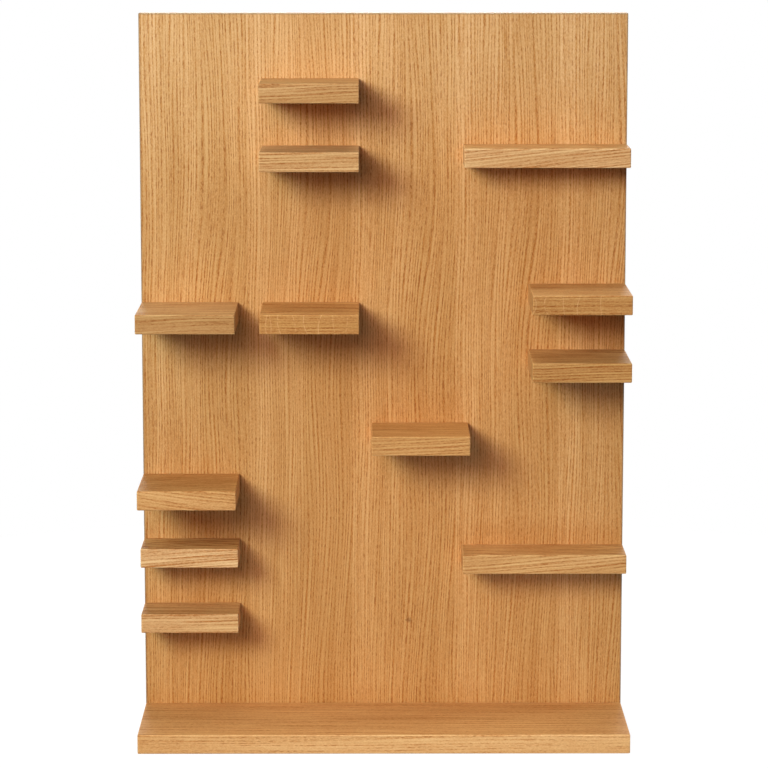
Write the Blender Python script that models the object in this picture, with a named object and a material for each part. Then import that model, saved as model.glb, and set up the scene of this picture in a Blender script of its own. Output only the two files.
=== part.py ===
"""A wall shelf: one upright oak panel that carries thirteen oak boards of different widths and depths.

The front faces -Y and +Z is up. The origin lies on the panel's back face, halfway across and halfway up,
where it meets the wall. Every board is screwed on from behind. Two keyhole plates, let in flush with the
panel's back, take the heads of two wall screws.
"""

import math

import bmesh
import bpy
from mathutils import Matrix, Vector

# Driving dimensions, in metres

# The panel
PANEL_WIDTH = 0.404
PANEL_HEIGHT = 0.600
PANEL_THICKNESS = 0.016
PANEL_ARRIS = 0.0005

# The boards that stand out from it
SHELF_THICKNESS = 0.016
LEDGE_THICKNESS = 0.016
BOARD_ARRIS = 0.0008
SMALL_WIDTH = 0.081
LONG_WIDTH = 0.136
SHALLOW_DEPTH = 0.045
MIDDLE_DEPTH = 0.070
DEEP_DEPTH = 0.080
LEDGE_DEPTH = 0.104

# Where the boards sit: columns from left to right, top faces from the panel's upper edge, middle or lower edge
INNER_COLUMN_GAP = 0.020
CENTRE_COLUMN_GAP = 0.010
STACK_OPENING = 0.0395
INNER_TOP_DROP = 0.0535
LONG_UPPER_DROP = 0.108
LEVEL_PAIR_RISE = 0.060
RIGHT_TOP_RISE = 0.0755
CENTRE_FALL = 0.042
LEFT_LOWER_HEIGHT = 0.2145
LONG_LOWER_HEIGHT = 0.1535

# The screws that hold the boards, and their holes
SCREW_LENGTH = 0.040
SCREW_RADIUS = 0.002
SCREW_HEAD_RADIUS = 0.004
SCREW_HEAD_RIM = 0.0003
SCREW_END_INSET = 0.016
SCREW_SINK = 0.0004
SMALL_SHELF_SCREW_COUNT = 2
LONG_SHELF_SCREW_COUNT = 3
LEDGE_SCREW_COUNT = 5

# The keyhole plates, their screws and the space behind them
PLATE_WIDTH = 0.016
PLATE_HEIGHT = 0.046
PLATE_THICKNESS = 0.0016
PLATE_SINK = 0.0002
PLATE_SIDE_INSET = 0.045
PLATE_TOP_DROP = 0.055
PLATE_SCREW_SPACING = 0.036
PLATE_SCREW_LENGTH = 0.013
PLATE_SCREW_RADIUS = 0.0015
PLATE_SCREW_HEAD_RADIUS = 0.0028
KEY_HOLE_RADIUS = 0.005
KEY_SLOT_WIDTH = 0.005
KEY_SLOT_RISE = 0.010
POCKET_SIDE_ROOM = 0.0006
POCKET_DEPTH = 0.009

# Fits
SEAT_GAP = 0.0003
TIP_GAP = 0.001

# How finely round shapes are cut
SCREW_SIDES = 12
ARC_STEPS = 6
ARRIS_STEPS = 2

# Shares that give a screw its form
POINT_SHARE = 0.15
SOCKET_OUTER_SHARE = 0.52
SOCKET_INNER_SHARE = 0.36
SOCKET_DEPTH_SHARE = 0.42

# Lengths that cutters reach past the face that they cut
CUTTER_REACH = 0.002


def remove_everything():
    """Empties the scene."""
    for obj in list(bpy.data.objects):
        bpy.data.objects.remove(obj, do_unlink=True)


def finish(name, colour, roughness, metallic):
    """A plain material of one colour."""
    material = bpy.data.materials.new(name)
    material.use_nodes = True
    shader = material.node_tree.nodes["Principled BSDF"]
    shader.inputs["Base Color"].default_value = (*colour, 1.0)
    shader.inputs["Roughness"].default_value = roughness
    shader.inputs["Metallic"].default_value = metallic
    return material


def add_object(name, mesh, material=None):
    """Puts a mesh into the scene under this name."""
    obj = bpy.data.objects.new(name, mesh)
    bpy.context.scene.collection.objects.link(obj)
    if material:
        mesh.materials.clear()
        mesh.materials.append(material)
    return obj


def mesh_from(name, shape):
    """Turns a bmesh into a mesh with its faces pointing out."""
    bmesh.ops.recalc_face_normals(shape, faces=shape.faces)
    mesh = bpy.data.meshes.new(name)
    shape.to_mesh(mesh)
    shape.free()
    return mesh


def block_mesh(name, low, high):
    """A rectangular block between two corners."""
    shape = bmesh.new()
    bmesh.ops.create_cube(shape, size=1.0)
    size = Vector(high) - Vector(low)
    middle = (Vector(high) + Vector(low)) / 2
    bmesh.ops.scale(shape, vec=size, verts=shape.verts)
    bmesh.ops.translate(shape, vec=middle, verts=shape.verts)
    return mesh_from(name, shape)


def board(name, low, high, arris, material):
    """A board between two corners, with its edges eased."""
    obj = add_object(name, block_mesh(name, low, high), material)
    easing = obj.modifiers.new("eased_edges", "BEVEL")
    easing.width = arris
    easing.segments = ARRIS_STEPS
    easing.limit_method = "ANGLE"
    return obj


def turned_rings(shape, rings):
    """Joins rings of (radius, second radius, y) about the Y axis and closes both ends, by a point or a flat.

    A ring whose two radii differ has lobes: its corners lie on the one and the other in turn.
    """
    made = []
    for radius, other, y in rings:
        if radius == 0:
            made.append([shape.verts.new((0, y, 0))])
            continue
        corners = []
        for k in range(SCREW_SIDES):
            angle = 2 * math.pi * k / SCREW_SIDES
            reach = radius if k % 2 == 0 else other
            corners.append(shape.verts.new((reach * math.cos(angle), y, reach * math.sin(angle))))
        made.append(corners)
    for first, second in zip(made, made[1:]):
        for k in range(SCREW_SIDES):
            corners = [first[k % len(first)], first[(k + 1) % len(first)]]
            corners += [second[(k + 1) % len(second)], second[k % len(second)]]
            shape.faces.new(list(dict.fromkeys(corners)))
    for ring in (made[0], made[-1]):
        if len(ring) > 1:
            shape.faces.new(ring)


def round_solid(name, rings):
    """A closed solid turned about the Y axis."""
    shape = bmesh.new()
    turned_rings(shape, rings)
    mesh = mesh_from(name, shape)
    mesh.shade_smooth()
    mesh.set_sharp_from_angle(angle=math.radians(30))
    return mesh


def screw_mesh(name, length, radius, head_radius):
    """A countersunk screw with a six-lobed socket. Its head's face is at y = 0 and its point reaches to -Y."""
    head_height = SCREW_HEAD_RIM + head_radius - radius
    socket = SOCKET_OUTER_SHARE * head_radius
    lobe = SOCKET_INNER_SHARE * head_radius
    socket_floor = -SOCKET_DEPTH_SHARE * head_radius
    return round_solid(
        name,
        [
            (0, 0, socket_floor),
            (socket, lobe, socket_floor),
            (socket, lobe, 0),
            (head_radius, head_radius, 0),
            (head_radius, head_radius, -SCREW_HEAD_RIM),
            (radius, radius, -head_height),
            (radius, radius, -(1 - POINT_SHARE) * length),
            (0, 0, -length),
        ],
    )


def screw_hole_mesh(name, radius, head_radius, face, depth):
    """The cutter for a countersunk screw whose head's face is at y = -face. It reaches down to y = -depth."""
    mouth = head_radius + SEAT_GAP
    bore = radius + SEAT_GAP
    cone_top = -face - SCREW_HEAD_RIM
    cone_bottom = cone_top - (mouth - bore)
    # The cone is lowered so that it clears the head's by the seat gap, measured square to it
    lowered = SEAT_GAP * (math.sqrt(2) - 1)
    return round_solid(
        name,
        [
            (mouth, mouth, CUTTER_REACH),
            (mouth, mouth, cone_top - lowered),
            (bore, bore, cone_bottom - lowered),
            (bore, bore, -depth),
        ],
    )


def bore_mesh(name, radius, y_mouth, y_floor):
    """The cutter for a plain bore along Y."""
    bore = radius + SEAT_GAP
    return round_solid(name, [(bore, bore, y_mouth), (bore, bore, y_floor)])


def outline_solid(name, outline, y_low, y_high):
    """A flat outline of (x, z) points, drawn out from one y to another."""
    shape = bmesh.new()
    face = shape.faces.new([shape.verts.new((x, y_low, z)) for x, z in outline])
    drawn = bmesh.ops.extrude_face_region(shape, geom=[face])
    moved = [item for item in drawn["geom"] if isinstance(item, bmesh.types.BMVert)]
    bmesh.ops.translate(shape, vec=(0, y_high - y_low, 0), verts=moved)
    return mesh_from(name, shape)


def arc(centre_z, radius, start, end):
    """Points on an arc about (0, centre_z), both ends among them. Angles in degrees, from +X towards +Z."""
    steps = ARC_STEPS * max(1, round(abs(end - start) / 90))
    points = []
    for k in range(steps + 1):
        angle = math.radians(start + (end - start) * k / steps)
        points.append((radius * math.cos(angle), centre_z + radius * math.sin(angle)))
    return points


def round_ended(width, height):
    """The outline of an upright strip with round ends."""
    radius = width / 2
    straight = height / 2 - radius
    return arc(straight, radius, 0, 180) + arc(-straight, radius, 180, 360)


def keyhole():
    """A round hole with a narrower slot rising from it, where the wall screw's shank slides up."""
    half_slot = KEY_SLOT_WIDTH / 2
    join = math.degrees(math.acos(half_slot / KEY_HOLE_RADIUS))
    hole = arc(0, KEY_HOLE_RADIUS, 180 - join, 360 + join)
    slot = arc(KEY_SLOT_RISE, half_slot, 0, 180)
    return hole + slot


def joined_cutter(name, placed):
    """One cutter from several meshes, each placed at its own points."""
    shape = bmesh.new()
    for mesh, places in placed:
        for place in places:
            mesh.transform(Matrix.Translation(place))
            shape.from_mesh(mesh)
            mesh.transform(Matrix.Translation(-place))
    cutter = add_object(name, mesh_from(name, shape))
    cutter.hide_render = True
    cutter.display_type = "WIRE"
    return cutter


def cut(obj, cutter):
    """Takes the cutter's shape out of the object."""
    boolean = obj.modifiers.new(cutter.name, "BOOLEAN")
    boolean.operation = "DIFFERENCE"
    boolean.solver = "EXACT"
    boolean.object = cutter


def along(start, end, count):
    """Evenly spaced places from start to end."""
    return [start + (end - start) * k / (count - 1) for k in range(count)]


def shelf_plan():
    """Each board's name, left edge and top face from the panel's lower left corner, width, depth and screws."""
    left = 0.0
    inner = SMALL_WIDTH + INNER_COLUMN_GAP
    centre = inner + SMALL_WIDTH + CENTRE_COLUMN_GAP
    right = PANEL_WIDTH - SMALL_WIDTH
    right_long = PANEL_WIDTH - LONG_WIDTH
    middle = PANEL_HEIGHT / 2
    pitch = SHELF_THICKNESS + STACK_OPENING
    inner_top = PANEL_HEIGHT - INNER_TOP_DROP
    right_top = middle + RIGHT_TOP_RISE
    small = (
        ("inner_shelf_1", inner, inner_top, MIDDLE_DEPTH),
        ("inner_shelf_2", inner, inner_top - pitch, MIDDLE_DEPTH),
        ("inner_shelf_3", inner, middle + LEVEL_PAIR_RISE, DEEP_DEPTH),
        ("left_shelf_1", left, middle + LEVEL_PAIR_RISE, DEEP_DEPTH),
        ("left_shelf_2", left, LEFT_LOWER_HEIGHT, DEEP_DEPTH),
        ("left_shelf_3", left, LEFT_LOWER_HEIGHT - pitch, SHALLOW_DEPTH),
        ("left_shelf_4", left, LEFT_LOWER_HEIGHT - 2 * pitch, SHALLOW_DEPTH),
        ("centre_shelf", centre, middle - CENTRE_FALL, MIDDLE_DEPTH),
        ("right_shelf_1", right, right_top, DEEP_DEPTH),
        ("right_shelf_2", right, right_top - pitch, DEEP_DEPTH),
    )
    long = (
        ("long_shelf_upper", right_long, PANEL_HEIGHT - LONG_UPPER_DROP),
        ("long_shelf_lower", right_long, LONG_LOWER_HEIGHT),
    )
    plan = []
    for name, x, top, depth in small:
        plan.append((name, x, top, SHELF_THICKNESS, SMALL_WIDTH, depth, SMALL_SHELF_SCREW_COUNT))
    for name, x, top in long:
        plan.append((name, x, top, SHELF_THICKNESS, LONG_WIDTH, SHALLOW_DEPTH, LONG_SHELF_SCREW_COUNT))
    ledge_top = LEDGE_THICKNESS
    plan.append(("bottom_ledge", left, ledge_top, LEDGE_THICKNESS, PANEL_WIDTH, LEDGE_DEPTH, LEDGE_SCREW_COUNT))
    return plan


def from_corner(x, y, z):
    """A point given from the lower left corner of the panel's back face."""
    return Vector((x - PANEL_WIDTH / 2, y, z - PANEL_HEIGHT / 2))


def make_shelves(wood, steel):
    """Every board with its screws. Returns where the screws stand in the panel's back."""
    screw = screw_mesh("shelf_screw", SCREW_LENGTH, SCREW_RADIUS, SCREW_HEAD_RADIUS)
    front = -PANEL_THICKNESS
    hole_floor = -SCREW_SINK - SCREW_LENGTH - TIP_GAP
    bore = bore_mesh("pilot_bore", SCREW_RADIUS, front, hole_floor)
    screw_places = []
    for name, x, top, thickness, width, depth, screws in shelf_plan():
        low = from_corner(x, front - depth, top - thickness)
        high = from_corner(x + width, front - SEAT_GAP, top)
        shelf = board(name, low, high, BOARD_ARRIS, wood)
        height = top - thickness / 2
        across = along(x + SCREW_END_INSET, x + width - SCREW_END_INSET, screws)
        places = [from_corner(place, 0, height) for place in across]
        cut(shelf, joined_cutter(f"{name}_bores", [(bore, places)]))
        for number, place in enumerate(places, start=1):
            driven = add_object(f"{name}_screw_{number}", screw, steel)
            driven.location = place - Vector((0, SCREW_SINK, 0))
        screw_places += places
    return screw_places


def make_hangers(steel, zinc):
    """The two keyhole plates with their screws. Returns their middles on the panel's back."""
    middles = {
        "left": from_corner(PLATE_SIDE_INSET, 0, PANEL_HEIGHT - PLATE_TOP_DROP),
        "right": from_corner(PANEL_WIDTH - PLATE_SIDE_INSET, 0, PANEL_HEIGHT - PLATE_TOP_DROP),
    }
    half_spacing = PLATE_SCREW_SPACING / 2
    offsets = {"upper": Vector((0, 0, half_spacing)), "lower": Vector((0, 0, -half_spacing))}
    screw = screw_mesh("plate_screw", PLATE_SCREW_LENGTH, PLATE_SCREW_RADIUS, PLATE_SCREW_HEAD_RADIUS)
    key = outline_solid("key", keyhole(), -PLATE_THICKNESS - CUTTER_REACH, CUTTER_REACH)
    key_middle = Vector((0, 0, -KEY_SLOT_RISE / 2))
    seat = screw_hole_mesh(
        "plate_hole", PLATE_SCREW_RADIUS, PLATE_SCREW_HEAD_RADIUS, PLATE_SINK, PLATE_THICKNESS + CUTTER_REACH
    )
    face = outline_solid(
        "plate", round_ended(PLATE_WIDTH, PLATE_HEIGHT), -PLATE_SINK - PLATE_THICKNESS, -PLATE_SINK
    )
    for side, middle in middles.items():
        name = f"hanger_plate_{side}"
        plate = add_object(name, face, steel)
        plate.location = middle
        cut(plate, joined_cutter(f"{name}_key", [(key, [middle + key_middle])]))
        holes = [middle + offset for offset in offsets.values()]
        cut(plate, joined_cutter(f"{name}_holes", [(seat, holes)]))
        for end, offset in offsets.items():
            driven = add_object(f"{name}_screw_{end}", screw, zinc)
            driven.location = middle + offset - Vector((0, PLATE_SINK, 0))
    return list(middles.values())


def make_panel(wood, screw_places, hanger_middles):
    """The upright panel, bored and countersunk for every screw and let in for the plates."""
    low = from_corner(0, -PANEL_THICKNESS, 0)
    high = from_corner(PANEL_WIDTH, 0, PANEL_HEIGHT)
    panel = board("back_panel", low, high, PANEL_ARRIS, wood)
    through = PANEL_THICKNESS + CUTTER_REACH
    hole = screw_hole_mesh("shelf_screw_hole", SCREW_RADIUS, SCREW_HEAD_RADIUS, SCREW_SINK, through)
    cut(panel, joined_cutter("shelf_screw_holes", [(hole, screw_places)]))
    recess_width = PLATE_WIDTH + 2 * SEAT_GAP
    recess_height = PLATE_HEIGHT + 2 * SEAT_GAP
    recess_floor = -PLATE_SINK - PLATE_THICKNESS - SEAT_GAP
    recess = outline_solid("recess", round_ended(recess_width, recess_height), recess_floor, CUTTER_REACH)
    cut(panel, joined_cutter("plate_recesses", [(recess, hanger_middles)]))
    pocket_width = 2 * (KEY_HOLE_RADIUS + POCKET_SIDE_ROOM)
    pocket_height = pocket_width + KEY_SLOT_RISE
    pocket = outline_solid("pocket", round_ended(pocket_width, pocket_height), -POCKET_DEPTH, CUTTER_REACH)
    cut(panel, joined_cutter("plate_pockets", [(pocket, hanger_middles)]))
    half_spacing = Vector((0, 0, PLATE_SCREW_SPACING / 2))
    pilot_floor = -PLATE_SINK - PLATE_SCREW_LENGTH - TIP_GAP
    pilot = bore_mesh("plate_pilot", PLATE_SCREW_RADIUS, CUTTER_REACH, pilot_floor)
    ends = [middle + way * half_spacing for middle in hanger_middles for way in (-1, 1)]
    cut(panel, joined_cutter("plate_pilots", [(pilot, ends)]))


def main():
    remove_everything()
    panel_oak = finish("panel_oak", (0.60, 0.33, 0.13), 0.55, 0.0)
    shelf_oak = finish("shelf_oak", (0.62, 0.35, 0.15), 0.50, 0.0)
    zinc = finish("zinc_plated_steel", (0.72, 0.72, 0.70), 0.35, 1.0)
    plate_steel = finish("plate_steel", (0.62, 0.62, 0.61), 0.42, 1.0)
    screw_places = make_shelves(shelf_oak, zinc)
    hanger_middles = make_hangers(plate_steel, zinc)
    make_panel(panel_oak, screw_places, hanger_middles)


main()
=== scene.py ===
"""The looks of a wall shelf: an upright board veneered in oak that carries thirteen oak boards.

The shapes come from the solid model, in metres. Its front faces -Y, +Z is up, and the origin lies on the back
of the upright board, halfway across and halfway up.
"""

import math

import bmesh
import bpy
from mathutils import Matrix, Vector


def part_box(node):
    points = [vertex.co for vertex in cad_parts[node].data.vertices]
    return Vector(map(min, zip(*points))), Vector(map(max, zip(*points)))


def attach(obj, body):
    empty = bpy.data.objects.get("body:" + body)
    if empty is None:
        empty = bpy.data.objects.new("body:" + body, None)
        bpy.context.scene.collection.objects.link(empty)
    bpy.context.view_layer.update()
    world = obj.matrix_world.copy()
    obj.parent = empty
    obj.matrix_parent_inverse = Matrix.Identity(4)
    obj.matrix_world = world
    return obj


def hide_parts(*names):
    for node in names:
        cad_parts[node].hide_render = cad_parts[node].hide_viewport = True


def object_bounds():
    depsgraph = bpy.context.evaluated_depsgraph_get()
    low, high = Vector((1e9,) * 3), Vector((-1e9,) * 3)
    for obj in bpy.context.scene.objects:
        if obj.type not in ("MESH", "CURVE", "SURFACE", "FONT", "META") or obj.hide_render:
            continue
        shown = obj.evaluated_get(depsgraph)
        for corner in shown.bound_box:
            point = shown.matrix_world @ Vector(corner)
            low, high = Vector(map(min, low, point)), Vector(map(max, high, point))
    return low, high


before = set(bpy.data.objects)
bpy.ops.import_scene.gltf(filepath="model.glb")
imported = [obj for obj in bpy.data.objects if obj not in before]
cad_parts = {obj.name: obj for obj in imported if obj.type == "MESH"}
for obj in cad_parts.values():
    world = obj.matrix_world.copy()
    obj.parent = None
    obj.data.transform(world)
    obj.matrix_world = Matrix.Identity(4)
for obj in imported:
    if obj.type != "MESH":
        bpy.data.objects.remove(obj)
cad_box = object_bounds()

# The view: an upright shelf seen from a little above and straight in front, through a long lens.
# The camera stands on the side of the shelf's open face, almost opposite its middle. Its place is in metres,
# its tilt and its turn in degrees, and its lens in millimetres.

VIEW_FROM = Vector((-0.0108, -2.6546, 0.4103))
VIEW_TILT_DOWN = 8.624
VIEW_TURN_RIGHT = 0.246
VIEW_LENS = 149.34
VIEW_SHIFT = -0.03

camera_data = bpy.data.cameras.new("camera")
camera_data.lens = VIEW_LENS
camera_data.shift_y = VIEW_SHIFT
camera = bpy.data.objects.new("camera", camera_data)
camera.location = VIEW_FROM
camera.rotation_euler = (math.radians(90 - VIEW_TILT_DOWN), 0, math.radians(-VIEW_TURN_RIGHT))
bpy.context.scene.collection.objects.link(camera)
bpy.context.scene.camera = camera
bpy.context.scene.view_settings.view_transform = "Standard"

# The upright board: a flat core faced front and back with oak veneer, and lipped with it on all four edges.
# The leaves are slip-matched: cut one after another from one flitch and laid side by side, each repeats the
# last. The board is oiled, which leaves the open pores and a dull sheen.

# Each leaf's width, the first joint's distance from the board's left edge, how much deeper in the flitch each
# leaf was cut than the last, and the number of the leaf in the board's middle
LEAF_WIDTH = 0.0865
FIRST_JOINT = 0.0890
LEAF_SLIP = 0.0011
MIDDLE_LEAF = 1.0

# The distance between year lines, how far they slant in a metre of height, and the two bends of the flitch:
# between which heights each lies, and how far it moves the lines over
LINE_SPACING = 0.0029
FLITCH_SLANT = 0.012
FLITCH_BENDS = ((0.19, -0.03, 0.0095), (-0.10, -0.29, 0.0085))

# How the tone changes down the board: from this height to this one, by so much. It is paler and yellower
# towards its head and darker and more orange towards its foot. This is partly the flitch's own tone and
# partly painted light that falls off down the board, with painted shade in the strip just above the ledge
FLITCH_TONES_AND_PAINTED_LIGHT = ((0.14, 0.27, 0.12), (-0.04, -0.25, -0.045), (-0.26, -0.285, -0.05))

# The heights between which the leaves' colours and figure change
HEAD_HEIGHT = 0.27
FOOT_HEIGHT = -0.25

# Where in the log the strips on the board's sides and ends were cut, and how much of a face's normal has to
# point their way
SIDE_STRIP = 0.40
END_STRIP = 0.55
TURNED_ASIDE = 0.7

# Where the pin knot lies across and up the board, its half width, depth and half height, and how far the
# fibres fray it
PIN_KNOT = (0.0215, -0.2120)
PIN_KNOT_SIZE = (0.0036, 0.004, 0.0026)
PIN_KNOT_FRAY = 1.6

# How wide the eased edges' darker line is, and the finish of all the wood: how dull it is, how much light its
# oiled face throws back, and how deep its pores are
EDGE_LINE_WIDTH = 0.0017
WOOD_ROUGHNESS = 0.60
OIL_SHEEN = 0.18
PORE_RELIEF = 0.0002


def colour(red, green, blue):
    """A colour as it shows, each part from 0 to 255, made linear."""
    parts = []
    for part in (red, green, blue):
        share = part / 255
        parts.append(share / 12.92 if share <= 0.04045 else ((share + 0.055) / 1.055) ** 2.4)
    return (*parts, 1.0)


def feed(tree, socket, value):
    """Gives a socket a number, a vector, a colour, or what comes out of another node."""
    if isinstance(value, bpy.types.NodeSocket):
        tree.links.new(value, socket)
    else:
        socket.default_value = value


def node(tree, kind, settings=None, **inputs):
    """Adds a node. Each keyword feeds the input of that name, with spaces for underscores."""
    made = tree.nodes.new(kind)
    for name, value in (settings or {}).items():
        setattr(made, name, value)
    for name, value in inputs.items():
        feed(tree, made.inputs[name.replace("_", " ")], value)
    return made


def calc(tree, operation, *values, clamp=False):
    """The result of a sum on one, two or three numbers."""
    made = node(tree, "ShaderNodeMath", {"operation": operation, "use_clamp": clamp})
    for place, value in enumerate(values):
        feed(tree, made.inputs[place], value)
    return made.outputs[0]


def off_half(tree, value):
    """How far a number lies from a half, above or below it."""
    return calc(tree, "SUBTRACT", value, 0.5)


def vector_calc(tree, operation, *values):
    """The result of a sum on vectors."""
    made = node(tree, "ShaderNodeVectorMath", {"operation": operation})
    for place, value in enumerate(values):
        feed(tree, made.inputs[place], value)
    return made.outputs["Value" if operation in ("DOT_PRODUCT", "LENGTH") else "Vector"]


def split(tree, vector):
    """The three parts of a vector, as X, Y and Z."""
    return node(tree, "ShaderNodeSeparateXYZ", Vector=vector).outputs


def joined(tree, x=0.0, y=0.0, z=0.0):
    """A vector of these three parts."""
    return node(tree, "ShaderNodeCombineXYZ", X=x, Y=y, Z=z).outputs[0]


def surface_place(tree):
    """The point of the surface that is being coloured, in metres from its piece's origin."""
    return node(tree, "ShaderNodeTexCoord").outputs["Object"]


def surface_facing(tree):
    """Which way the surface faces at that point, as the parts of its normal."""
    return split(tree, node(tree, "ShaderNodeNewGeometry").outputs["Normal"])


def between(tree, value, low, high, smooth=True):
    """How far a number has come from low to high, from 0 to 1."""
    kind = "SMOOTHSTEP" if smooth else "LINEAR"
    made = node(tree, "ShaderNodeMapRange", {"interpolation_type": kind})
    for name, fed in (("Value", value), ("From Min", low), ("From Max", high)):
        feed(tree, made.inputs[name], fed)
    return made.outputs["Result"]


def noise(tree, place, detail=0.0, roughness=0.5):
    """Smooth noise from 0 to 1 about a half, at a place where one unit is the size of its spots."""
    made = node(tree, "ShaderNodeTexNoise", Vector=place, Scale=1.0, Detail=detail, Roughness=roughness)
    return made.outputs["Fac"]


def stretched(tree, place, along, across, through, shift=(0, 0, 0)):
    """A place in the log, measured in spots of this size along, across and through it."""
    shares = vector_calc(tree, "MULTIPLY", place, (1 / along, 1 / across, 1 / through))
    return vector_calc(tree, "ADD", shares, shift)


def blend_colours(tree, share, first, second):
    """First blended with second by share."""
    made = node(tree, "ShaderNodeMix", {"data_type": "RGBA"})
    for name, fed in (("Factor", share), ("A", first), ("B", second)):
        feed(tree, made.inputs[name], fed)
    return made.outputs["Result"]


def choose_place(tree, which, first, second):
    """The first place where which is 0, and the second where it is 1."""
    return node(tree, "ShaderNodeMix", {"data_type": "VECTOR"}, Factor=which, A=first, B=second).outputs[1]


def new_group(name, inputs, outputs):
    """An empty shader group with named sockets. Returns it with its inner ends."""
    tree = bpy.data.node_groups.new(name, "ShaderNodeTree")
    for label, value in inputs.items():
        kind = "NodeSocketFloat" if isinstance(value, (int, float)) else "NodeSocketVector"
        if not isinstance(value, (int, float)) and len(value) == 4:
            kind = "NodeSocketColor"
        socket = tree.interface.new_socket(label, in_out="INPUT", socket_type=kind)
        socket.default_value = value
    for label, kind in outputs.items():
        tree.interface.new_socket(label, in_out="OUTPUT", socket_type=f"NodeSocket{kind}")
    return tree, tree.nodes.new("NodeGroupInput").outputs, tree.nodes.new("NodeGroupOutput").inputs


def use_group(tree, group, **inputs):
    """Places a shader group in a material or in another group. Returns its outputs."""
    return node(tree, "ShaderNodeGroup", {"node_tree": group}, **inputs).outputs


def make_oak_figure():
    """Oak as it lies in the log: year lines, the pores that open in them, and the slow drift of its tone.

    The position is in metres: x along the grain, y across the years, z along them.
    """
    tree, given, result = new_group(
        "oak_figure",
        {
            "Position": (0.0, 0.0, 0.0),
            "Line Spacing": LINE_SPACING,
            "Waver": 0.003,
            "Waver Length": 0.170,
            "Crowding": 2.6,
            "Evenness": 0.5,
            "Pore Length": 0.0034,
            "Pore Width": 0.0007,
        },
        {"Lines": "Float", "Pores": "Float", "Drift": "Float", "Fibres": "Float"},
    )
    place = split(tree, given["Position"])

    # The log isn't straight, so all its lines bend together
    waver_width = 0.045
    bent = joined(
        tree,
        calc(tree, "DIVIDE", place["X"], given["Waver Length"]),
        calc(tree, "DIVIDE", place["Y"], waver_width),
        calc(tree, "DIVIDE", place["Z"], waver_width),
    )
    bend = calc(tree, "MULTIPLY", off_half(tree, noise(tree, bent)), given["Waver"])
    years = calc(tree, "ADD", place["Y"], calc(tree, "MULTIPLY", bend, 2.0))
    counted = calc(tree, "DIVIDE", years, given["Line Spacing"])
    in_log = joined(tree, place["X"], years, place["Z"])

    # Rings of uneven width: even lines that crowd and spread, mixed with rough ones
    crowd_place = stretched(tree, in_log, along=0.160, across=0.0085, through=0.020, shift=(3.1, 0, 0))
    crowded = off_half(tree, noise(tree, crowd_place))
    turns = calc(tree, "MULTIPLY_ADD", crowded, given["Crowding"], counted)
    wave = calc(tree, "SINE", calc(tree, "MULTIPLY", turns, math.tau))
    even = between(tree, wave, -1.0, 0.35)
    rough_length = 0.120
    rough_depth = 0.006
    rough_per_line = 1.5
    spaced = joined(
        tree,
        calc(tree, "DIVIDE", place["X"], rough_length),
        calc(tree, "MULTIPLY", counted, rough_per_line),
        calc(tree, "DIVIDE", place["Z"], rough_depth),
    )
    rough = between(tree, noise(tree, spaced, detail=2.0, roughness=0.7), 0.28, 0.66, smooth=False)
    mixed = node(tree, "ShaderNodeMix", Factor=given["Evenness"], A=rough, B=even).outputs["Result"]

    # Some stretches of a line are faint
    faintest = 0.35
    clear_place = stretched(tree, in_log, along=0.090, across=0.008, through=0.012, shift=(0, 7.7, 0))
    clear = between(tree, noise(tree, clear_place), 0.25, 0.6)
    strength = calc(tree, "MULTIPLY_ADD", clear, 1 - faintest, faintest)
    lines = calc(tree, "MULTIPLY_ADD", off_half(tree, mixed), strength, 0.5)
    feed(tree, result["Lines"], lines)

    # Pores: open vessels cut lengthwise, most of them in the dark lines
    opened = joined(
        tree,
        calc(tree, "DIVIDE", place["X"], given["Pore Length"]),
        calc(tree, "DIVIDE", years, given["Pore Width"]),
        calc(tree, "DIVIDE", place["Z"], given["Pore Width"]),
    )
    vessels = between(tree, noise(tree, opened), 0.52, 0.64)
    in_lines = between(tree, lines, 0.70, 0.30)
    feed(tree, result["Pores"], calc(tree, "MULTIPLY", vessels, in_lines))

    # A slow drift of tone, and short and long fibres less than a millimetre across
    drift_place = stretched(tree, in_log, along=0.180, across=0.012, through=0.020, shift=(0, 0, 5.3))
    feed(tree, result["Drift"], noise(tree, drift_place, detail=1.0))
    short_place = stretched(tree, in_log, along=0.0016, across=0.0009, through=0.0009, shift=(1.7, 0, 0))
    long_place = stretched(tree, in_log, along=0.0140, across=0.0009, through=0.0009, shift=(4.1, 0, 0))
    short = noise(tree, short_place, detail=1.0, roughness=0.6)
    long = noise(tree, long_place, detail=1.0)
    short_share = 0.6
    long_part = calc(tree, "MULTIPLY", long, 1 - short_share)
    feed(tree, result["Fibres"], calc(tree, "MULTIPLY_ADD", short, short_share, long_part))
    return tree


def make_veneer_leaf():
    """Where a point lies in its leaf of veneer: how far from its left edge, and which leaf it is."""
    tree, given, result = new_group(
        "veneer_leaf",
        {"Across": 0.0, "Leaf Width": LEAF_WIDTH, "First Joint": FIRST_JOINT},
        {"In Leaf": "Float", "Leaf Number": "Float"},
    )
    from_joint = calc(tree, "SUBTRACT", given["Across"], given["First Joint"])
    leaves = calc(tree, "DIVIDE", from_joint, given["Leaf Width"])
    number = calc(tree, "FLOOR", leaves)
    share = calc(tree, "SUBTRACT", leaves, number)
    feed(tree, result["In Leaf"], calc(tree, "MULTIPLY", share, given["Leaf Width"]))
    feed(tree, result["Leaf Number"], number)
    return tree


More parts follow.
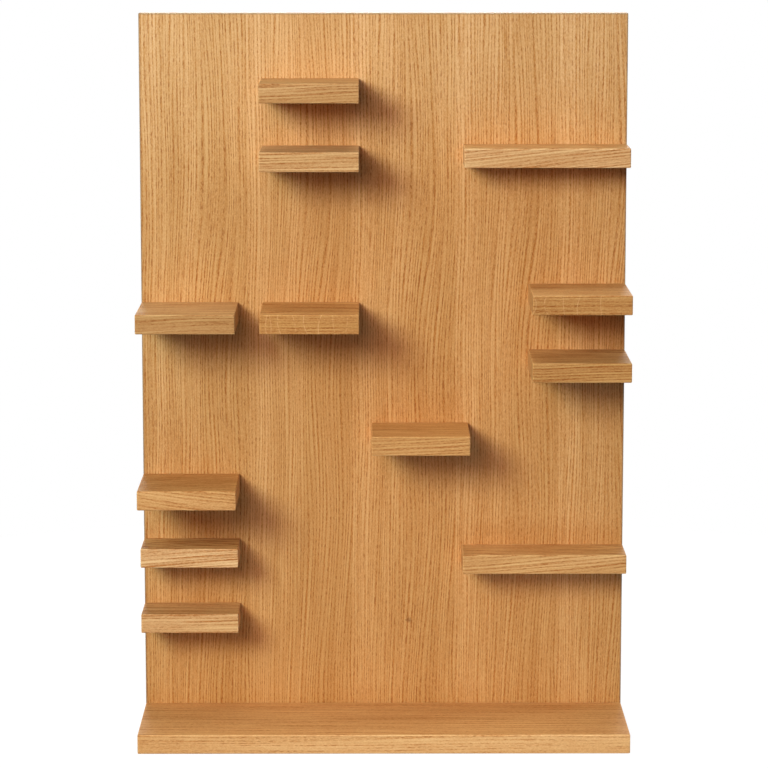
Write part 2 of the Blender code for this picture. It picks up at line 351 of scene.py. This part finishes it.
def make_eased_edge():
    """How near a point lies to an edge of a board between two corners: 1 on the edge, 0 from its width on."""
    tree, given, result = new_group(
        "eased_edge",
        {"Position": (0.0, 0.0, 0.0), "Low": (0.0, 0.0, 0.0), "High": (1.0, 1.0, 1.0), "Width": 0.0012},
        {"Edge": "Float"},
    )
    from_low = vector_calc(tree, "SUBTRACT", given["Position"], given["Low"])
    from_high = vector_calc(tree, "SUBTRACT", given["High"], given["Position"])
    nearest = split(tree, vector_calc(tree, "MINIMUM", from_low, from_high))

    # A point on an edge is near two faces at once, so what counts is the second smallest distance
    low_pair = calc(tree, "MINIMUM", nearest["X"], nearest["Y"])
    high_pair = calc(tree, "MAXIMUM", nearest["X"], nearest["Y"])
    second = calc(tree, "MAXIMUM", low_pair, calc(tree, "MINIMUM", high_pair, nearest["Z"]))
    feed(tree, result["Edge"], between(tree, second, given["Width"], 0.0))
    return tree


def make_oak_colours():
    """Turns the figure into oak's colours: light and dark years, pores, and a tone that drifts."""
    tree, given, result = new_group(
        "oak_colours",
        {
            "Lines": 0.5,
            "Pores": 0.0,
            "Drift": 0.5,
            "Fibres": 0.5,
            "Light": (1.0, 1.0, 1.0, 1.0),
            "Dark": (0.0, 0.0, 0.0, 1.0),
            "Pore": (0.0, 0.0, 0.0, 1.0),
            "Pore Depth": 0.6,
            "Drift Depth": 0.12,
            "Contrast": 1.0,
            "Fibre Depth": 1.3,
            "Tone": 1.0,
        },
        {"Colour": "Color", "Relief": "Float"},
    )
    fibres = calc(tree, "MULTIPLY", off_half(tree, given["Fibres"]), given["Fibre Depth"])
    lit = off_half(tree, calc(tree, "ADD", fibres, given["Lines"]))
    lit = calc(tree, "MULTIPLY_ADD", lit, given["Contrast"], 0.5, clamp=True)
    oak = blend_colours(tree, lit, given["Dark"], given["Light"])
    oak = blend_colours(tree, calc(tree, "MULTIPLY", given["Pores"], given["Pore Depth"]), oak, given["Pore"])
    swing = calc(tree, "MULTIPLY", off_half(tree, given["Drift"]), given["Drift Depth"])
    tone = calc(tree, "ADD", given["Tone"], calc(tree, "MULTIPLY", swing, 2.0))

    # Where oak is darker, it is more orange too, as its green and blue fall faster than its red
    green_fall = 1.43
    blue_fall = 2.4
    toned = joined(tree, tone, calc(tree, "POWER", tone, green_fall), calc(tree, "POWER", tone, blue_fall))
    feed(tree, result["Colour"], vector_calc(tree, "MULTIPLY", oak, toned))

    # The dark years stand a little lower than the light ones, and the pores are open
    line_relief = 0.3
    raised = calc(tree, "MULTIPLY_ADD", given["Lines"], line_relief, 1 - line_relief)
    feed(tree, result["Relief"], calc(tree, "SUBTRACT", raised, given["Pores"]))
    return tree


oak_figure = make_oak_figure()
veneer_leaf = make_veneer_leaf()
eased_edge = make_eased_edge()
oak_colours = make_oak_colours()


def colour_oak(tree, figure, **values):
    """Places oak's colours in a material and gives them the figure. Returns the colour and the relief."""
    parts = {part: figure[part] for part in ("Lines", "Pores", "Drift", "Fibres")}
    return use_group(tree, oak_colours, **parts, **values)


def new_material(name):
    """An empty material. Returns it with its tree and its Principled shader."""
    material = bpy.data.materials.new(name)
    material.use_nodes = True
    tree = material.node_tree
    return material, tree, tree.nodes["Principled BSDF"]


def finish_wood(tree, shader, oak, relief):
    """Joins a wood's colour and relief to its shader, with a dull oiled sheen that is duller in the pores."""
    feed(tree, shader.inputs["Base Color"], oak)
    pore_dulling = 0.10
    dull = calc(tree, "MULTIPLY_ADD", relief, -pore_dulling, WOOD_ROUGHNESS + pore_dulling)
    feed(tree, shader.inputs["Roughness"], dull)
    shader.inputs["Specular IOR Level"].default_value = OIL_SHEEN
    bump = node(tree, "ShaderNodeBump", Strength=0.35, Distance=PORE_RELIEF, Height=relief)
    feed(tree, shader.inputs["Normal"], bump.outputs["Normal"])


def dress(name, material):
    """Gives a piece of the model its material."""
    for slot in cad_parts[name].material_slots:
        slot.link = "OBJECT"
        slot.material = material


def find_in_flitch(tree, place, leaf):
    """Where a point of the board's veneer lay in the log: on its faces, and on the strips round its edges."""
    leant = calc(tree, "MULTIPLY", place["Z"], FLITCH_SLANT)
    for top, bottom, reach in FLITCH_BENDS:
        moved = calc(tree, "MULTIPLY", between(tree, place["Z"], top, bottom), reach)
        leant = calc(tree, "ADD", leant, moved)

    # The lines lean least at a leaf's left edge, and by their full lean from this far in
    full_lean_from = 0.05
    rise = between(tree, leaf["In Leaf"], 0.0, full_lean_from)
    leant = calc(tree, "MULTIPLY", leant, calc(tree, "MULTIPLY_ADD", rise, 1.0, 0.3))
    slipped = calc(tree, "MULTIPLY", leaf["Leaf Number"], LEAF_SLIP)
    on_face = joined(tree, place["Z"], calc(tree, "ADD", leaf["In Leaf"], leant), slipped)

    # The back is veneered from another flitch, a metre away, and the sides and ends have strips of their own
    facing = surface_facing(tree)
    is_back = calc(tree, "GREATER_THAN", facing["Y"], 0.5)
    on_face = vector_calc(tree, "ADD", on_face, joined(tree, z=is_back))
    on_side = joined(tree, place["Z"], place["Y"], SIDE_STRIP)
    on_end = joined(tree, place["X"], place["Y"], END_STRIP)
    is_side = calc(tree, "GREATER_THAN", calc(tree, "ABSOLUTE", facing["X"]), TURNED_ASIDE)
    is_end = calc(tree, "GREATER_THAN", calc(tree, "ABSOLUTE", facing["Z"]), TURNED_ASIDE)
    return choose_place(tree, is_end, choose_place(tree, is_side, on_face, on_side), on_end)


def head_to_foot(tree, height, head, foot):
    """A number that changes evenly from the head of the flitch to its foot."""
    return calc(tree, "MULTIPLY_ADD", height, foot - head, head)


def tone_veneer(tree, place, leaf, height):
    """How light the veneer is, about 1: across a leaf, from one leaf to the next, and along the flitch, where
    painted light and shade are added.
    """
    # Each leaf is lighter along its left edge, over a wider strip at its head, and darker in its right half
    share = calc(tree, "DIVIDE", leaf["In Leaf"], LEAF_WIDTH)
    lighter = between(tree, share, head_to_foot(tree, height, 0.44, 0.30), 0.10)
    darker = between(tree, share, 0.45, 0.70)
    step = calc(tree, "SUBTRACT", lighter, darker)
    step = calc(tree, "MULTIPLY", step, head_to_foot(tree, height, 0.044, 0.054))
    tone = calc(tree, "ADD", step, 1.0)

    # Each leaf is a little lighter than the last, most of all at its foot
    from_middle = calc(tree, "SUBTRACT", leaf["Leaf Number"], MIDDLE_LEAF)
    tone = calc(tree, "MULTIPLY_ADD", from_middle, head_to_foot(tree, height, 0.002, 0.005), tone)
    # Down the board: the flitch's own tone, with painted light at the head, and painted shade at the foot and
    # just above the ledge
    for start, end, change in FLITCH_TONES_AND_PAINTED_LIGHT:
        tone = calc(tree, "MULTIPLY_ADD", between(tree, place["Z"], start, end), change, tone)
    return tone


def redden_veneer(tree, from_left, up):
    """The veneer's slow change of hue over the board, as a factor on its colour."""
    # It is reddest right of the board's middle, and less so at the board's right edge, its head and its foot
    redder = calc(tree, "MULTIPLY", between(tree, from_left, 0.06, 0.20), 0.056)
    redder = calc(tree, "MULTIPLY_ADD", between(tree, from_left, 0.28, 0.39), -0.024, redder)
    middle = calc(tree, "MULTIPLY", between(tree, up, 0.26, 0.10), between(tree, up, -0.26, -0.12))
    redder = calc(tree, "MULTIPLY", redder, calc(tree, "MULTIPLY_ADD", middle, 0.6, 0.4))

    # The whole board is this much yellower, which shows along its left edge
    yellower = 0.022
    redder = calc(tree, "SUBTRACT", redder, yellower)
    changes = (0.3, -1.0, -2.2)
    return joined(tree, *[calc(tree, "MULTIPLY_ADD", redder, change, 1.0) for change in changes])


def add_pin_knot(tree, point, front, fibres, oak):
    """One pin knot a few millimetres wide in the front veneer, frayed by the fibres round it."""
    from_knot = vector_calc(tree, "SUBTRACT", point, (PIN_KNOT[0], front, PIN_KNOT[1]))
    spread = vector_calc(tree, "LENGTH", vector_calc(tree, "DIVIDE", from_knot, PIN_KNOT_SIZE))
    frayed = calc(tree, "MULTIPLY_ADD", off_half(tree, fibres), PIN_KNOT_FRAY, spread)
    knot = calc(tree, "MULTIPLY", between(tree, frayed, 1.1, 0.2), 0.60)
    return blend_colours(tree, knot, oak, colour(118, 68, 30))


def make_panel_veneer():
    """The veneer of the upright board: upright leaves on its faces, and strips laid round its edges."""
    material, tree, shader = new_material("panel_veneer")
    low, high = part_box("back_panel")
    point = surface_place(tree)
    place = split(tree, point)
    from_left = split(tree, vector_calc(tree, "SUBTRACT", point, tuple(low)))["X"]
    leaf = use_group(tree, veneer_leaf, Across=from_left)
    in_flitch = find_in_flitch(tree, place, leaf)
    figure = use_group(tree, oak_figure, Position=in_flitch, Waver=0.004, Evenness=0.5)

    # The lines are fainter, and the colours more orange, towards the foot
    height = between(tree, place["Z"], HEAD_HEIGHT, FOOT_HEIGHT, smooth=False)
    made = colour_oak(
        tree,
        figure,
        Light=blend_colours(tree, height, colour(220, 173, 117), colour(217, 166, 106)),
        Dark=blend_colours(tree, height, colour(187, 127, 63), colour(183, 116, 50)),
        Pore=colour(150, 84, 33),
        Pore_Depth=0.62,
        Drift_Depth=head_to_foot(tree, height, 0.16, 0.10),
        Contrast=head_to_foot(tree, height, 1.00, 0.78),
        Fibre_Depth=2.1,
        Tone=tone_veneer(tree, place, leaf, height),
    )
    veneer = vector_calc(tree, "MULTIPLY", made["Colour"], redden_veneer(tree, from_left, place["Z"]))

    # Round each face a thin grey-brown line is laid along its edges
    corners = {"Low": tuple(low), "High": tuple(high)}
    edge = use_group(tree, eased_edge, Position=point, Width=EDGE_LINE_WIDTH, **corners)["Edge"]
    oak = blend_colours(tree, calc(tree, "MULTIPLY", edge, 0.75), veneer, colour(140, 122, 100))
    oak = add_pin_knot(tree, point, low[1], figure["Fibres"], oak)
    finish_wood(tree, shader, oak, made["Relief"])
    return material


dress("back_panel", make_panel_veneer())

# The thirteen boards: solid oak, sawn from different planks, planed, their edges eased and then oiled.
# Each is cut at its own angle to the years, so the lines on its front, top and ends belong together.

# For each board: the angle of its cut and the slope of its lines in degrees, how far the lines waver in
# millimetres, how light it is, how light its top is beside its front (partly its own cut, partly painted
# light and shade on the top), how much redder it is than plain oak, how strongly its lines show, and how
# strongly its fibres do
BOARDS = {
    "inner_shelf_1": (28, 2, 3, 0.935, 0.86, -0.04, 0.80, 1.2),
    "inner_shelf_2": (25, 1, 3.5, 1.04, 1, -0.03, 1.1, 1.2),
    "inner_shelf_3": (8, 0.5, 2, 0.85, 1.04, 0.035, 0.65, 2.3),
    "left_shelf_1": (20, 1, 3, 0.89, 1.02, -0.05, 0.8, 1.1),
    "left_shelf_2": (30, -6, 3, 1.04, 0.83, 0.03, 0.55, 2.2),
    "left_shelf_3": (18, 4, 2, 1.14, 0.75, -0.01, 1.7, 0.8),
    "left_shelf_4": (20, 1, 2, 1.105, 0.85, -0.01, 0.95, 1.1),
    "centre_shelf": (34, 1, 3.5, 0.955, 0.86, 0.035, 0.75, 1.3),
    "right_shelf_1": (20, 0.5, 2, 0.86, 1.11, 0.02, 0.66, 2.2),
    "right_shelf_2": (22, 1, 3, 0.825, 1.07, 0.01, 1.2, 1.1),
    "long_shelf_upper": (24, 6, 2, 1.14, 0.78, -0.01, 1, 1.1),
    "long_shelf_lower": (30, 4, 3, 0.99, 0.97, 0.025, 1.0, 1),
    "bottom_ledge": (28, 0.5, 1.5, 1.16, 0.885, 0.05, 0.38, 2.7),
}

# Where a board is cut along its rays, they show as bright strokes: how far each stands from the board's left
# end, how much it bows, its lean and its width, in metres
RAY_FLECKS = {
    "inner_shelf_3": (
        (0.0052, 0.0010, 0.0004, 0.0005),
        (0.0095, -0.0008, -0.0006, 0.0004),
        (0.0150, 0.0014, -0.0012, 0.0005),
        (0.0290, -0.0006, -0.0016, 0.0004),
        (0.0362, 0.0018, -0.0014, 0.0006),
        (0.0480, 0.0016, 0.0012, 0.0006),
        (0.0600, 0.0008, -0.0010, 0.0003),
        (0.0712, -0.0006, 0.0008, 0.0003),
    ),
    "right_shelf_1": (
        (0.0026, -0.0030, 0.0006, 0.0005),
        (0.0092, 0.0030, -0.0008, 0.0005),
        (0.0246, 0.0006, -0.0006, 0.0004),
        (0.0360, 0.0014, 0.0012, 0.0005),
        (0.0548, 0.0008, -0.0004, 0.0004),
    ),
}

# How far apart in the log one board and the next were cut, in metres
PLANK_STEP = (0.37, 0.053, 0.071)

# How much of a face's normal points one way where it starts to count as that face, and where it fully does
SLANTED = 0.6
SQUARE = 0.9

# The boards' year lines and colours, and how much paler the red, green and blue of their edges are made,
# partly by rubbing and partly as a painted highlight along each edge
BOARD_LINE_SPACING = 0.0024
BOARD_LIGHT = colour(225, 180, 122)
BOARD_DARK = colour(175, 104, 42)
BOARD_PORE = colour(149, 85, 33)
BOARD_END = colour(206, 164, 110)
BOARD_RAY = colour(230, 182, 126)
RUBBED_AND_HIGHLIT_EDGE = (1.22, 1.32, 1.45)


def make_ray_fleck():
    """One ray laid open by the saw: a bright stroke across the grain that bows, leans and breaks up."""
    tree, given, result = new_group(
        "ray_fleck",
        {"Along": 0.0, "Up": 0.0, "Break": 0.5, "Middle": 0.0, "Bow": 0.001, "Lean": 0.0, "Width": 0.0005},
        {"Fleck": "Float"},
    )
    bowed = calc(tree, "MULTIPLY", calc(tree, "MULTIPLY", given["Up"], given["Up"]), given["Bow"])
    leant = calc(tree, "MULTIPLY_ADD", given["Up"], given["Lean"], bowed)
    from_middle = calc(tree, "SUBTRACT", given["Along"], given["Middle"])
    off = calc(tree, "ABSOLUTE", calc(tree, "SUBTRACT", from_middle, leant))
    stroke = between(tree, calc(tree, "DIVIDE", off, given["Width"]), 1.2, 0.2)
    feed(tree, result["Fleck"], calc(tree, "MULTIPLY", stroke, between(tree, given["Break"], 0.30, 0.52)))
    return tree


ray_fleck = make_ray_fleck()


def find_ray_flecks(tree, name, point, broken):
    """The strokes on a board, as how bright they are from 0 to 1."""
    low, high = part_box(name)
    from_low = split(tree, vector_calc(tree, "SUBTRACT", point, tuple(low)))
    up = calc(tree, "MULTIPLY_ADD", from_low["Z"], 2 / (high[2] - low[2]), -1.0)
    shown = 0.0
    for middle, bow, lean, width in RAY_FLECKS[name]:
        shape = {"Middle": middle, "Bow": bow, "Lean": lean, "Width": width}
        stroke = use_group(tree, ray_fleck, Along=from_low["X"], Up=up, Break=broken, **shape)
        shown = calc(tree, "MAXIMUM", stroke["Fleck"], shown)
    return shown


def add_ray_flecks(tree, name, point, in_log, front_facing, oak):
    """Lays a board's strokes on its front, where the noise of the wood breaks them up."""
    broken = noise(tree, vector_calc(tree, "DIVIDE", in_log, (0.002, 0.010, 0.0024)), detail=1.0)
    flecks = find_ray_flecks(tree, name, point, broken)
    on_front = between(tree, front_facing, -SLANTED, -SQUARE)
    share = calc(tree, "MULTIPLY", flecks, calc(tree, "MULTIPLY", on_front, 0.5))
    return blend_colours(tree, share, oak, BOARD_RAY)


def make_board_oak(name, number, cut, slope, waver, tone, top_tone_with_painted_light, warmth, contrast, fibres):
    """One board's solid oak, by its row of BOARDS. Its number gives it a part of the log to itself."""
    material, tree, shader = new_material(f"oak_of_{name}")
    low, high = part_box(name)
    point = surface_place(tree)
    in_log = vector_calc(tree, "ADD", point, tuple(step * number for step in PLANK_STEP))
    turned = node(
        tree,
        "ShaderNodeMapping",
        {"vector_type": "POINT"},
        Vector=in_log,
        Rotation=(math.radians(90 - cut), 0, math.radians(slope)),
    ).outputs[0]

    # Long boards are cut from straighter planks, in which the lines bend more slowly
    waver_length = 0.06 + 0.45 * (high[0] - low[0])
    figure = use_group(
        tree,
        oak_figure,
        Position=turned,
        Line_Spacing=BOARD_LINE_SPACING,
        Waver=0.001 * waver,
        Waver_Length=waver_length,
        Crowding=1.8,
        Evenness=0.3,
    )

    # A board's top shows another cut of the plank than its front, with stronger lines. It is also set lighter
    # or darker than the front, partly by the cut and partly as painted light and shade, such as the shade
    # that a deeper board above throws on it
    facing = surface_facing(tree)
    on_top = between(tree, facing["Z"], SLANTED, SQUARE)
    made = colour_oak(
        tree,
        figure,
        Light=BOARD_LIGHT,
        Dark=BOARD_DARK,
        Pore=BOARD_PORE,
        Contrast=calc(tree, "MULTIPLY_ADD", on_top, 0.20 * contrast, contrast),
        Fibre_Depth=fibres,
        Tone=calc(tree, "MULTIPLY_ADD", on_top, (top_tone_with_painted_light - 1) * tone, tone),
    )
    warmed = vector_calc(tree, "MULTIPLY", made["Colour"], (1 + warmth, 1.0, 1 - 2 * warmth))

    # The ends are paler and greyer, and the eased edges are made pale: partly rubbed, and partly a painted
    # highlight along each edge
    on_end = between(tree, calc(tree, "ABSOLUTE", facing["X"]), SLANTED, SQUARE)
    oak = blend_colours(tree, calc(tree, "MULTIPLY", on_end, 0.35), warmed, BOARD_END)
    if name in RAY_FLECKS:
        oak = add_ray_flecks(tree, name, point, in_log, facing["Y"], oak)
    edge = use_group(tree, eased_edge, Position=point, Low=tuple(low), High=tuple(high))["Edge"]
    rubbed_and_highlit = vector_calc(tree, "MULTIPLY", oak, RUBBED_AND_HIGHLIT_EDGE)
    oak = blend_colours(tree, calc(tree, "MULTIPLY", edge, 0.70), oak, rubbed_and_highlit)
    finish_wood(tree, shader, oak, made["Relief"])
    return material


for number, (name, facts) in enumerate(BOARDS.items(), start=1):
    dress(name, make_board_oak(name, number, *facts))

# The screws: zinc-plated countersunk wood screws with six-lobed sockets, all driven in from behind.
# Long ones hold the boards and short ones the keyhole plates. Only their heads show, flush in the back.

SCREW_SIDES = 24
RINGS_PER_TURN = 4
SOCKET_LOBES = 6

# A screw's proportions: its socket's radius and depth beside its head's radius, its core's radius beside its
# thread's, and the shares of its length that its plain shank takes and at which its point begins
SOCKET_RADIUS = 0.52
SOCKET_DEPTH = 0.42
CORE_RADIUS = 0.72
PLAIN_SHANK = 0.14
POINT_FROM = 0.88

# How steep the thread's flanks are: at 2 they would meet in the groove, and above it the core shows between
THREAD_STEEPNESS = 3.2

# The height of the head's rim, how much the edges of its face are rounded, and how far the socket's floor is
# dished, in metres
RIM_HEIGHT = 0.0003
FACE_ROUNDING = 0.00015
SOCKET_DISH = 0.0002


def make_steel_surface():
    """What rolling and plating leave on steel: fine scratches one way, and a bloom of cloudy patches."""
    tree, given, result = new_group(
        "steel_surface",
        {"Position": (0.0, 0.0, 0.0), "Scratch Length": 0.006, "Scratch Width": 0.0002, "Patch Size": 0.003},
        {"Scratches": "Float", "Bloom": "Float"},
    )
    place = split(tree, given["Position"])
    scratched = joined(
        tree,
        calc(tree, "DIVIDE", place["X"], given["Scratch Width"]),
        calc(tree, "DIVIDE", place["Y"], given["Scratch Width"]),
        calc(tree, "DIVIDE", place["Z"], given["Scratch Length"]),
    )
    feed(tree, result["Scratches"], noise(tree, scratched, detail=1.0))
    patch = joined(tree, given["Patch Size"], given["Patch Size"], given["Patch Size"])
    patched = vector_calc(tree, "DIVIDE", given["Position"], patch)
    feed(tree, result["Bloom"], between(tree, noise(tree, patched, detail=3.0, roughness=0.6), 0.3, 0.7))
    return tree


steel_surface = make_steel_surface()


def finish_steel(tree, shader, surface, light, dark, roughness, depth):
    """Joins steel's colour, sheen and fine relief to its shader. Its scratches are duller than the rest."""
    feed(tree, shader.inputs["Base Color"], blend_colours(tree, surface["Bloom"], dark, light))
    shader.inputs["Metallic"].default_value = 1.0
    worn = calc(tree, "MULTIPLY_ADD", surface["Scratches"], 0.16, roughness)
    feed(tree, shader.inputs["Roughness"], calc(tree, "MULTIPLY_ADD", surface["Bloom"], -0.08, worn))
    bump = node(tree, "ShaderNodeBump", Strength=0.3, Distance=depth, Height=surface["Scratches"])
    feed(tree, shader.inputs["Normal"], bump.outputs["Normal"])


def make_zinc():
    """Bright zinc plating with a faintly blue passivation, clouded in patches."""
    material, tree, shader = new_material("zinc_plating")
    point = surface_place(tree)
    surface = use_group(tree, steel_surface, Position=point, Scratch_Length=0.0012, Patch_Size=0.0022)
    finish_steel(tree, shader, surface, colour(214, 217, 219), colour(160, 166, 168), 0.28, 0.00003)
    return material


def screw_ring(y, radius, lobe=0.0, thread=0.0, turns=0.0):
    """Points round the screw at one height.

    They are drawn in by lobe between the socket's lobes, and raised by thread where the thread runs.
    """
    points = []
    for side in range(SCREW_SIDES):
        share = side / SCREW_SIDES
        angle = math.tau * share
        reach = radius - lobe * (0.5 - 0.5 * math.cos(SOCKET_LOBES * angle))
        reach += thread * max(0.0, 1.0 - THREAD_STEEPNESS * abs((turns - share) % 1.0 - 0.5))
        points.append((reach * math.cos(angle), y, reach * math.sin(angle)))
    return points


def make_screw(name, length, radius, head_radius, pitch):
    """A closed screw: its head's face lies at y = 0, and its threaded shank runs to a point towards -Y."""
    socket = SOCKET_RADIUS * head_radius
    core = CORE_RADIUS * radius
    neck = RIM_HEIGHT + head_radius - radius
    floor_y = -SOCKET_DEPTH * head_radius

    # Up the socket's lobed wall, out over its mouth, across the face and down the head's cone to the shank
    rings = [
        screw_ring(floor_y, 0.9 * socket, 0.28 * socket),
        screw_ring(-FACE_ROUNDING, socket, 0.3 * socket),
        screw_ring(0.0, 1.08 * socket, 0.24 * socket),
        screw_ring(0.0, head_radius - FACE_ROUNDING),
        screw_ring(-0.0001, head_radius),
        screw_ring(-RIM_HEIGHT, head_radius),
        screw_ring(-neck, radius),
    ]
    smooth_to = neck + PLAIN_SHANK * length
    rings.append(screw_ring(-smooth_to, radius))
    steps = round((POINT_FROM * length - smooth_to) / pitch * RINGS_PER_TURN)
    for step in range(1, steps + 1):
        turns = step / RINGS_PER_TURN
        rings.append(screw_ring(-smooth_to - turns * pitch, core, thread=radius - core, turns=turns))
    drawn = bmesh.new()
    placed = []
    for ring in rings:
        placed.append([drawn.verts.new(point) for point in ring])
    for upper, lower in zip(placed, placed[1:]):
        for side in range(SCREW_SIDES):
            after = (side + 1) % SCREW_SIDES
            drawn.faces.new((upper[side], upper[after], lower[after], lower[side]))

    # The first ring closes in the socket's floor, and the last in the screw's point
    for ring, y in ((placed[0], floor_y - SOCKET_DISH), (placed[-1], -length)):
        middle = drawn.verts.new((0.0, y, 0.0))
        for side in range(SCREW_SIDES):
            drawn.faces.new((ring[side], ring[(side + 1) % SCREW_SIDES], middle))
    bmesh.ops.recalc_face_normals(drawn, faces=drawn.faces)
    mesh = bpy.data.meshes.new(name)
    drawn.to_mesh(mesh)
    drawn.free()
    mesh.materials.append(zinc)
    for face in mesh.polygons:
        face.use_smooth = True
    mesh.set_sharp_from_angle(angle=math.radians(35))
    return mesh


def drive_screws(names, mesh):
    """Puts a screw where each of these nodes has one, its face level with the node's."""
    for name in names:
        low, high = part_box(name)
        screw = bpy.data.objects.new(f"driven_{name}", mesh)
        screw.location = ((low[0] + high[0]) / 2, high[1], (low[2] + high[2]) / 2)
        bpy.context.scene.collection.objects.link(screw)
        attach(screw, "root")
        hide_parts(name)


zinc = make_zinc()
board_screw = make_screw("board_screw", length=0.040, radius=0.002, head_radius=0.004, pitch=0.0022)
plate_screw = make_screw("plate_screw", length=0.013, radius=0.0015, head_radius=0.0028, pitch=0.0013)
plate_screws = [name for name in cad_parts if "hanger_plate" in name and "screw" in name]
board_screws = [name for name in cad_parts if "screw" in name and name not in plate_screws]
drive_screws(board_screws, board_screw)
drive_screws(plate_screws, plate_screw)

# The keyhole plates: two pressed steel plates let in flush with the upright board's back, near its top
# corners. A wall screw's head goes through the round hole, and its shank slides up the slot. The steel is
# drawn upright.


def make_plate_steel():
    """Satin steel, scratched lengthwise by drawing and clouded in patches."""
    material, tree, shader = new_material("drawn_steel")
    point = surface_place(tree)
    surface = use_group(tree, steel_surface, Position=point, Scratch_Length=0.014, Patch_Size=0.005)
    finish_steel(tree, shader, surface, colour(190, 191, 190), colour(166, 167, 167), 0.36, 0.00004)
    return material


plate_steel = make_plate_steel()
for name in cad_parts:
    if name.startswith("hanger_plate") and name not in plate_screws:
        dress(name, plate_steel)

# The floor and the light of a plain studio, which are not part of the shelf.
# One large soft lamp stands to the left of the camera and above it, a broader one fills its shadows, and
# weaker ones light the top, the sides and the back.

FLOOR_RADIUS = 0.85
FLOOR_SIDES = 96
PAPER_DARK = (0.08, 0.08, 0.08, 1)
PAPER_LIGHT = (0.10, 0.10, 0.10, 1)
PAPER_SPOTS_PER_METRE = 90
PAPER_GLOW = 0.96

floor_mesh = bpy.data.meshes.new("floor")
floor_height = cad_box[0].z
rim = []
for side in range(FLOOR_SIDES):
    turn = math.tau * side / FLOOR_SIDES
    rim.append((FLOOR_RADIUS * math.cos(turn), FLOOR_RADIUS * math.sin(turn), floor_height))
floor_mesh.from_pydata(rim, [], [tuple(range(FLOOR_SIDES))])
floor = bpy.data.objects.new("floor", floor_mesh)
bpy.context.scene.collection.objects.link(floor)


def looked_at(tree):
    """1 where a thing is looked at, also in a mirror or through glass, and 0 where it lights another."""
    seen = node(tree, "ShaderNodeLightPath").outputs
    shown = calc(tree, "MAXIMUM", seen["Is Camera Ray"], seen["Is Glossy Ray"])
    return calc(tree, "MAXIMUM", shown, seen["Is Transmission Ray"])


def make_floor_paper():
    """Paper that shows as white and keeps a soft shadow, but throws little light back on the shelf."""
    material, tree, shader = new_material("floor_paper")
    shader.inputs["Roughness"].default_value = 0.9
    shader.inputs["Specular IOR Level"].default_value = 0.0
    spots = vector_calc(tree, "MULTIPLY", surface_place(tree), (PAPER_SPOTS_PER_METRE,) * 3)
    feed(tree, shader.inputs["Base Color"], blend_colours(tree, noise(tree, spots), PAPER_DARK, PAPER_LIGHT))
    shader.inputs["Emission Color"].default_value = (1, 1, 1, 1)
    feed(tree, shader.inputs["Emission Strength"], calc(tree, "MULTIPLY", looked_at(tree), PAPER_GLOW))
    return material


floor_mesh.materials.append(make_floor_paper())

# The greenish main lamp and the reddish broad one make almost white where both reach, and warm shadows where
# only the broad one does. The low lamp stands for the pale blue light that a table throws up
WHITE = (1.0, 1.0, 1.0)
WARM = (1.0, 0.67, 0.61)
COOL = (0.82, 1.0, 0.91)
BLUE = (0.86, 0.95, 1.0)
TABLE_BLUE = (0.6, 0.82, 1.0)


def hang_lamp(
    name, azimuth, elevation, distance, size, watts, tint=WHITE, height=None, aim=(0, 0, 0), mirrored=True
):
    """A round soft lamp, or an oval one with its own height, and whether it shows in shiny things.

    Azimuth 0 is in front of the shelf and 90 on its right, in degrees. Sizes are in metres.
    """
    lamp = bpy.data.lights.new(name, "AREA")
    lamp.shape = "ELLIPSE"
    lamp.size = size
    lamp.size_y = height or size
    lamp.energy = watts
    lamp.color = tint
    hung = bpy.data.objects.new(name, lamp)
    turn = math.radians(azimuth)
    rise = math.radians(elevation)
    way = Vector((math.sin(turn) * math.cos(rise), -math.cos(turn) * math.cos(rise), math.sin(rise)))
    hung.location = way * distance
    hung.rotation_mode = "QUATERNION"
    hung.rotation_quaternion = (way * distance - Vector(aim)).to_track_quat("Z", "Y")
    hung.visible_camera = False
    hung.visible_glossy = mirrored
    bpy.context.scene.collection.objects.link(hung)


hang_lamp("main_lamp", -31, 22, 3.0, 1.0, 60, COOL)
hang_lamp("broad_lamp", -15, 19, 3.0, 1.5, 35, WARM)
hang_lamp("high_lamp", -34, 38, 3.0, 1.0, 7)
hang_lamp("low_lamp", 18, -36, 0.44, 0.45, 0.25, TABLE_BLUE, height=0.08, aim=(0.05, 0, -0.25))
hang_lamp("top_lamp", 0, 88, 2.2, 1.0, 19, BLUE)
hang_lamp("rear_right_lamp", 112, 4, 2.6, 1.0, 37, mirrored=False)
hang_lamp("rear_left_lamp", -125, 8, 2.8, 1.0, 20, mirrored=False)
hang_lamp("back_lamp", 180, 22, 3.0, 1.4, 42)

# The world is white to look at, and gives the shelf itself hardly any light
FILL_LIGHT = 0.002
world = bpy.data.worlds.new("studio")
bpy.context.scene.world = world
world.use_nodes = True
sky = world.node_tree
background = sky.nodes["Background"]
background.inputs["Color"].default_value = (1, 1, 1, 1)
strength = calc(sky, "MULTIPLY_ADD", looked_at(sky), 1 - FILL_LIGHT, FILL_LIGHT)
feed(sky, background.inputs["Strength"], strength)
